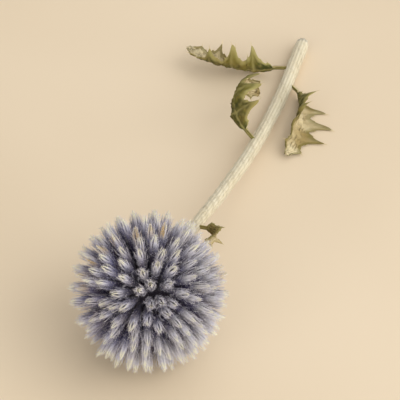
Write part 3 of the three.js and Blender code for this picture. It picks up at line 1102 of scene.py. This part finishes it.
@dataclass
class Leaf:
    """A dried stalk leaf with pointed, spine-tipped lobes, curled as it dried.

    The angles are those of the solid: a turn round the stalk from straight up, the angle that
    it leaves the stalk at, the bend of its midrib, the roll from edge to edge, and the turn of
    the blade about its midrib.
    """

    node: str
    at: float
    side: float
    length: float
    width: float
    lobes: int
    leaves: float
    bend: float
    roll: float
    turn: float
    wave: float
    finish: LeafFinish
    clearance: float = 0.3 * MM
    solid_thickness: float = 0.7 * MM
    thickness: float = 0.34 * MM
    midrib: float = 0.55 * MM
    side_vein: float = 0.16 * MM
    narrowest: float = 0.5 * MM
    cut: float = 0.4
    point: float = 2.2
    sweep: float = 0.5
    stalk_share: float = 0.12
    belly: float = 0.8
    lowest: float = 0.23 * MM
    softness: float = 0.8 * MM
    # How much further the margins turn up than the roll takes them, as a slope at the edge.
    edge_curl: float = 1.3
    crinkle: float = 0.25 * MM
    fine_crinkle: float = 0.1 * MM
    # From where to where along the leaf the crinkles grow, and over what share its foot reaches.
    crinkled: tuple[float, float] = (0.05, 0.3)
    foot_share: float = 0.09
    foot_depth: float = 0.7
    tooth: float = 0.16
    teeth_per_lobe: int = 3
    side_vein_width: float = 0.07
    branch_width: float = 0.05
    midrib_width: float = 0.35
    sunk_vein: float = 0.08 * MM
    edge_thinning: float = 0.75
    # The spines of a leaf as long as the full length given here; shorter leaves have shorter ones.
    spine_length: float = 1.3 * MM
    tooth_spine_length: float = 0.6 * MM
    spine_width: float = 0.11 * MM
    spine_sunk: float = 0.25
    full_length: float = 30 * MM
    stations_per_lobe: int = 36
    columns: int = 30

    def __post_init__(self) -> None:
        """Turn the degrees and millimetres that leaves are listed in into radians and metres."""
        self.side, self.leaves, self.bend = map(math.radians, (self.side, self.leaves, self.bend))
        self.roll, self.turn = math.radians(self.roll), math.radians(self.turn)
        self.length, self.width, self.wave = self.length * MM, self.width * MM, self.wave * MM

    def envelope(self, u: np.ndarray) -> np.ndarray:
        """Give the outline's width at u, as a share of the full: a stalk, a belly and a point.

        Past the stalk it is a power of a half wave, which falls evenly to the point.

        Args:
            u: Shares of the leaf's length.

        Returns:
            The share of the full width.
        """
        body = np.clip((u - self.stalk_share) / (1 - self.stalk_share), 0, 1)
        wave = np.abs(np.sin(math.pi * body**self.belly)) ** self.belly
        return wave * (1.1 - 0.3 * body)

    def lobe(self, u: np.ndarray) -> np.ndarray:
        """Say how far out the edge is, from 0 in a gap to 1 at a lobe's tip, with small teeth.

        A lobe is a power of a saw between 0 and 1, and a tooth the square of a quicker saw.

        Args:
            u: Shares of the leaf's length.

        Returns:
            How far out the edge is.
        """
        main = (1 - np.abs(2 * np.mod(self.lobes * u, 1) - 1)) ** self.point
        quick = np.mod(self.teeth_per_lobe * self.lobes * u, 1)
        teeth = self.tooth * (1 - np.abs(2 * quick - 1)) ** 2
        return main + teeth * (1 - main)

    def surface(self, stalk: Stalk, u: np.ndarray, v: np.ndarray) -> np.ndarray:
        """Carry places on the flat leaf, u along it and v across it, to the dried leaf.

        The midrib bends at a steady rate, the blade turns about the midrib with the distance
        along it, and rolls up across it along an arc. The margins turn up further, with the sixth
        power of the way out. Ripples grow with the square of the way out, fine crinkles are
        products of sines, and the foot reaches back into the stalk.

        Args:
            stalk: What the leaf grows on.
            u: Shares of the length, 0 at the stalk.
            v: Shares of the half width, from -1 to 1.

        Returns:
            The places, with x, y and z along a last axis.
        """
        foot = stalk.at(np.array(self.at))
        out = foot.outward(self.side)
        gap = float(stalk.thickness(np.array(self.at))) + self.clearance + self.solid_thickness / 2
        start = foot.middle + out * gap
        ahead = -foot.along * math.cos(self.leaves) + out * math.sin(self.leaves)
        above = -foot.along * math.sin(self.leaves) - out * math.cos(self.leaves)
        beside = np.cross(ahead, above)

        outline = self.envelope(u) * self.width / 2
        between = self.narrowest + outline * self.cut
        reach = between + outline * (1 - self.cut) * self.lobe(u)
        lean = self.sweep * np.abs(v) * (reach - between)
        share = u + lean * (1 - u) / self.length
        bent, turned = self.bend * share, self.turn * share
        roll_radius = self.width / self.roll
        aside = v * reach / (self.width / 2)
        rolled = v * reach / roll_radius

        bend_radius = self.length / self.bend
        place = start + ahead * (bend_radius * np.sin(bent))[..., None]
        place = place + above * (bend_radius * (1 - np.cos(bent)))[..., None]
        normal = above * np.cos(bent)[..., None] - ahead * np.sin(bent)[..., None]
        across = beside * np.cos(turned)[..., None] + normal * np.sin(turned)[..., None]
        raised = normal * np.cos(turned)[..., None] - beside * np.sin(turned)[..., None]

        ripple = self.wave * aside**2 * np.sin(2 * math.pi * self.lobes * share + 2 * aside)
        own = self.length * 900
        crinkle = self.crinkle * np.sin(47 * u + 9 * v) * np.sin(31 * u - 13 * v + own)
        crinkle = crinkle + self.fine_crinkle * np.sin(101 * u + 23 * v) * np.sin(17 * v - 67 * u)
        crinkle = crinkle * smoothstep(*self.crinkled, u)
        curl = self.edge_curl * math.copysign(1, self.roll) * reach * v**6 / 6
        lift = roll_radius * (1 - np.cos(rolled)) + curl + ripple + crinkle
        place = place + across * (roll_radius * np.sin(rolled))[..., None]
        place = place + raised * lift[..., None]
        back = 1 - smoothstep(0, self.foot_share, u)
        place = place - out * (back * (gap - stalk.radius * self.foot_depth))[..., None]
        return settle(place, self.lowest, self.softness)

    def veins(self, u: np.ndarray, v: np.ndarray) -> np.ndarray:
        """Say how much of a vein a place is, from 0 to 1.

        Each vein is a bell curve of the distance from its line: the midrib, a side vein out to
        each lobe's tip, and a fork of branches that spreads from the side vein's foot.

        Args:
            u: Shares of the leaf's length.
            v: Shares of its half width, from -1 to 1.

        Returns:
            How much of a vein each place is.
        """
        off, out = np.abs(np.mod(self.lobes * u, 1) - 0.5), np.abs(v)
        side = np.exp(-((off / self.side_vein_width) ** 2)) * (1 - 0.6 * out)
        branch = np.exp(-(((off - 0.45 * out) / self.branch_width) ** 2)) * 0.5 * out
        mid = np.exp(-((v * (0.6 + 4 * self.envelope(u)) / self.midrib_width) ** 2))
        return np.maximum(np.maximum(side, branch), mid)

    def normals(self, stalk: Stalk, u: np.ndarray, v: np.ndarray) -> np.ndarray:
        """Point out of the leaf's upper side: the cross product of its slopes both ways.

        Args:
            stalk: What the leaf grows on.
            u: Shares of the length, 0 at the stalk.
            v: Shares of the half width, from -1 to 1.

        Returns:
            Directions of length one.
        """
        nudge = 2e-3
        along = self.surface(stalk, u + nudge, v) - self.surface(stalk, u - nudge, v)
        across = self.surface(stalk, u, v + nudge) - self.surface(stalk, u, v - nudge)
        return unit(np.cross(across, along))

    def blade(self, stalk: Stalk) -> Skin:
        """Make the blade: the leaf's surface thickened both ways, thinner towards its margins.

        Args:
            stalk: What the leaf grows on.

        Returns:
            The blade's skin.
        """
        rows = np.linspace(0, 1, self.lobes * self.stations_per_lobe + 1)
        steps = np.sin(np.linspace(-math.pi / 2, math.pi / 2, self.columns + 1))
        u, v = np.meshgrid(rows, steps, indexing="ij")
        place, normal = self.surface(stalk, u, v), self.normals(stalk, u, v)
        half = self.thickness / 2 * (1 - self.edge_thinning * v**4)
        vein = self.veins(u, v)
        rib = self.midrib * (1 - np.abs(v)) ** 6 * (1 - 0.9 * u) + self.side_vein * vein
        upper = place + normal * (half - self.sunk_vein * vein)[..., None]
        lower = place - normal * (half + rib * (1 - v**8))[..., None]
        rings = np.concatenate([upper, lower[:, ::-1]], 1)
        edge = np.abs(np.concatenate([v, v[:, ::-1]], 1))
        marks = {
            "upper": np.concatenate([np.ones_like(v), np.zeros_like(v)], 1),
            "vein": np.concatenate([vein, vein[:, ::-1]], 1),
            "edge": edge,
            "spine": 0 * edge,
        }
        return loft(rings[None], {name: value[None] for name, value in marks.items()})

    def spines(self, stalk: Stalk) -> Skin:
        """Make the stiff spines: a long one at each lobe's tip and shorter ones on the teeth.

        Args:
            stalk: What the leaf grows on.

        Returns:
            The spines' skin.
        """
        tips = (np.arange(self.lobes) + 0.5) / self.lobes
        number = np.arange(self.teeth_per_lobe * self.lobes)
        teeth = (number + 0.5) / len(number)
        teeth = teeth[number % self.teeth_per_lobe != self.teeth_per_lobe // 2]
        u = np.concatenate([tips, tips, [1.0], teeth, teeth])
        big, small = np.ones_like(tips), np.ones_like(teeth)
        v = np.concatenate([-big, big, [0.0], -small, small])
        on_tooth = np.arange(len(u)) > 2 * len(tips)
        size = np.where(on_tooth, self.tooth_spine_length, self.spine_length)
        size = size * min(1, self.length / self.full_length)
        foot = self.surface(stalk, u, v)
        inward = self.surface(stalk, u - 0.02, v * 0.85)
        reach = unit(foot - inward) * size[:, None]
        marks = {name: 0 * u for name in ("upper", "vein", "edge")}
        marks["spine"] = np.ones_like(u)
        foot, reach = foot - reach * self.spine_sunk, reach * (1 + self.spine_sunk)
        skin = spikes(foot, reach, self.spine_width, marks)
        skin.places = settle(skin.places)
        return skin

    def build(self, stalk: Stalk) -> None:
        """Build and dress the blade with its spines.

        Args:
            stalk: What the leaf grows on.
        """
        blade = self.blade(stalk).piece(f"{self.node}_blade", True)
        dress(blade, self.node, self.finish)
        spines = self.spines(stalk).piece(f"{self.node}_spines", False)
        dress(spines, self.node, self.finish)


# ---------------------------------------------------------------- the finishes in use

BRACT_FINISH = BractFinish("dry_bract", (0.30, 0.22, 0.14, 1), 0.25, 150.0)
FRINGE_FINISH = PlainFinish(
    "bract_fringe",
    (0.5, 0.45, 0.4, 1),
    0.2,
    150.0,
    base=(0.58, 0.56, 0.72, 1),
    other=(0.78, 0.75, 0.78, 1),
)
# Partly painted shade: the bristles deep in the globe are dark lavender, in step with the painted
# shade of the globe's depths.
BRISTLE_FINISH = PlainFinish(
    "foot_bristle",
    (0.1, 0.08, 0.07, 1),
    0.4,
    150.0,
    base=(0.13, 0.115, 0.19, 1),
    other=(0.26, 0.23, 0.29, 1),
)
# Painted shade: the receptacle is near black, like the painted shade of the globe's depths, so that
# it darkens the gaps between the florets.
CORE_FINISH = PlainFinish(
    "receptacle",
    (0.03, 0.02, 0.02, 1),
    0.5,
    300.0,
    base=(0.03, 0.025, 0.05, 1),
    other=(0.045, 0.036, 0.06, 1),
)
STALK_FINISH = StalkFinish("woolly_stalk", (0.66, 0.56, 0.36, 1), 0.3, 90.0)
WOOL_FINISH = PlainFinish(
    "cobweb_wool",
    (0.7, 0.62, 0.45, 1),
    0.3,
    90.0,
    base=(0.80, 0.75, 0.62, 1),
    other=(0.70, 0.63, 0.48, 1),
)
LEAF_FINISH = LeafFinish("dried_leaf", (0.24, 0.16, 0.05, 1), 0.3, 130.0, sheen=0.03)
SMALL_LEAF_FINISH = replace(
    LEAF_FINISH,
    name="faded_leaf",
    green=(0.17, 0.13, 0.035, 1),
    olive=(0.36, 0.27, 0.09, 1),
)

LEAVES = (
    Leaf("leaf_upper", 0.195, 84, 9, 5, 3, 100, 150, -120, 20, 0.3, SMALL_LEAF_FINISH),
    Leaf("leaf_left", 0.615, -38, 24, 14, 5, 62, -200, -115, 65, 1.1, LEAF_FINISH),
    Leaf("leaf_right", 0.855, 98, 26, 16, 5, 30, 40, -150, -60, 1.1, LEAF_FINISH),
    Leaf("leaf_lower", 0.91, -84, 26, 14, 5, 48, -75, -160, 95, 1.0, LEAF_FINISH),
)


# ---------------------------------------------------------------- the studio


@dataclass(frozen=True)
class SoftLight:
    """A square soft light: its place and its side in metres, its power in watts and its tint."""

    name: str
    place: tuple[float, float, float]
    size: float
    power: float
    tint: tuple[float, float, float]

    def hang(self) -> None:
        """Hang the light so that it faces the origin, under the globe."""
        light = bpy.data.lights.new(self.name, "AREA")
        light.size = self.size
        light.energy = self.power
        light.color = self.tint
        lamp = bpy.data.objects.new(self.name, light)
        lamp.location = self.place
        lamp.rotation_euler = (-Vector(self.place)).to_track_quat("-Z", "Y").to_euler()
        bpy.context.scene.collection.objects.link(lamp)


@dataclass
class Studio:
    """The pale table, the soft light and the camera."""

    azimuth: float = math.radians(17)
    elevation: float = math.radians(42)
    distance: float = 1.3
    # The share of the picture that the object takes up, and how far the camera sees.
    fill: float = 0.86
    sight: float = 20.0
    sensor: float = 36.0
    table_size: float = 3.0
    table: Colour = (0.83, 0.70, 0.53, 1)
    table_shade: Colour = (0.785, 0.655, 0.485, 1)
    table_roughness: float = 0.9
    table_shine: float = 0.1
    cloud_scale: float = 9.0
    cloud_range: tuple[float, float] = (0.35, 0.65)
    lights: tuple[SoftLight, ...] = (
        SoftLight("window", (1.3, -0.45, 0.78), 2.2, 29.0, (1.0, 0.98, 0.94)),
        SoftLight("front_fill", (-0.1, -1.3, 0.32), 1.4, 9.0, (1.0, 0.98, 0.92)),
        SoftLight("back_fill", (0.3, 0.9, 1.2), 1.4, 4.0, (1.0, 0.97, 0.93)),
    )
    room: Colour = (1.0, 0.97, 0.93, 1)
    room_strength: float = 0.46

    def lay_table(self) -> None:
        """Lay the pale table top, which isn't part of the object, with faint cloudy shades."""
        half = self.table_size / 2
        corners = np.array([[-half, -half, 0], [half, -half, 0], [half, half, 0], [-half, half, 0]])
        table = Skin(corners, [np.array([[0, 1, 2, 3]])]).piece("table_top", False)
        material = bpy.data.materials.new("pale_table")
        material.use_nodes = True
        material.node_tree.nodes.clear()
        graph = Graph(material.node_tree)
        cloud = graph.noise(self.cloud_scale, 2, graph.add("TexCoord").outputs["Object"])
        share = graph.rise(cloud, *self.cloud_range)
        surface = graph.add(
            "BsdfPrincipled",
            {
                "Base Color": graph.blend(share, self.table, self.table_shade),
                "Roughness": self.table_roughness,
                "Specular IOR Level": self.table_shine,
            },
        )
        graph.add("OutputMaterial", {"Surface": surface.outputs["BSDF"]})
        table.data.materials.append(material)

    def light(self) -> None:
        """Light the object softly, mostly from the right, with a room that glows evenly."""
        for soft in self.lights:
            soft.hang()
        world = bpy.data.worlds.new("soft_room")
        world.use_nodes = True
        backdrop = world.node_tree.nodes["Background"]
        backdrop.inputs["Color"].default_value = self.room
        backdrop.inputs["Strength"].default_value = self.room_strength
        bpy.context.scene.world = world
        bpy.context.scene.view_settings.view_transform = "Standard"

    def set_camera(self) -> None:
        """Look down at the object so that it fills the picture.

        The object's places are measured along the camera's right and up directions, and the
        lens takes in the larger spread, with the middle of both spreads in the middle.
        """
        a, e = self.azimuth, self.elevation
        look = np.array([-math.sin(a) * math.cos(e), math.cos(a) * math.cos(e), -math.sin(e)])
        right = np.array([math.cos(a), math.sin(a), 0])
        up = np.cross(right, look)
        places = np.concatenate([self.corners(node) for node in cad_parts.values()])
        spans = [places @ direction for direction in (right, up)]
        middle = [(span.min() + span.max()) / 2 for span in spans]
        spread = max(span.max() - span.min() for span in spans)
        depth = (places @ look).mean()
        target = right * middle[0] + up * middle[1] + look * depth
        camera = bpy.data.cameras.new("camera")
        camera.sensor_width = self.sensor
        camera.lens = self.sensor * self.distance * self.fill / spread
        camera.clip_end = self.sight
        holder = bpy.data.objects.new("camera", camera)
        holder.location = Vector(target - look * self.distance)
        holder.rotation_euler = Vector(look).to_track_quat("-Z", "Y").to_euler()
        bpy.context.scene.collection.objects.link(holder)
        bpy.context.scene.camera = holder
        across = spread / self.fill / MM
        log.info("camera: lens %.0f mm, %.1f mm across the picture", camera.lens, across)

    @staticmethod
    def corners(node: bpy.types.Object) -> np.ndarray:
        """Read a solid's vertices.

        Args:
            node: The solid.

        Returns:
            Their places, shape (vertices, 3).
        """
        flat = np.empty(3 * len(node.data.vertices), np.float32)
        node.data.vertices.foreach_get("co", flat)
        return flat.reshape(-1, 3).astype(float)

    def build(self) -> None:
        """Set up the table, the light and the camera."""
        self.set_camera()
        self.lay_table()
        self.light()


def write_sizes() -> None:
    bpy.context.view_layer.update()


def main() -> None:
    """Build the studio and every piece of the flower."""
    logging.basicConfig(level=logging.INFO, format="%(message)s")
    withering()
    felting()
    Studio().build()
    stalk = Stalk()
    stalk.build()
    for leaf in LEAVES:
        leaf.build(stalk)
    Globe().build()
    write_sizes()


if __name__ == "__main__":
    main()
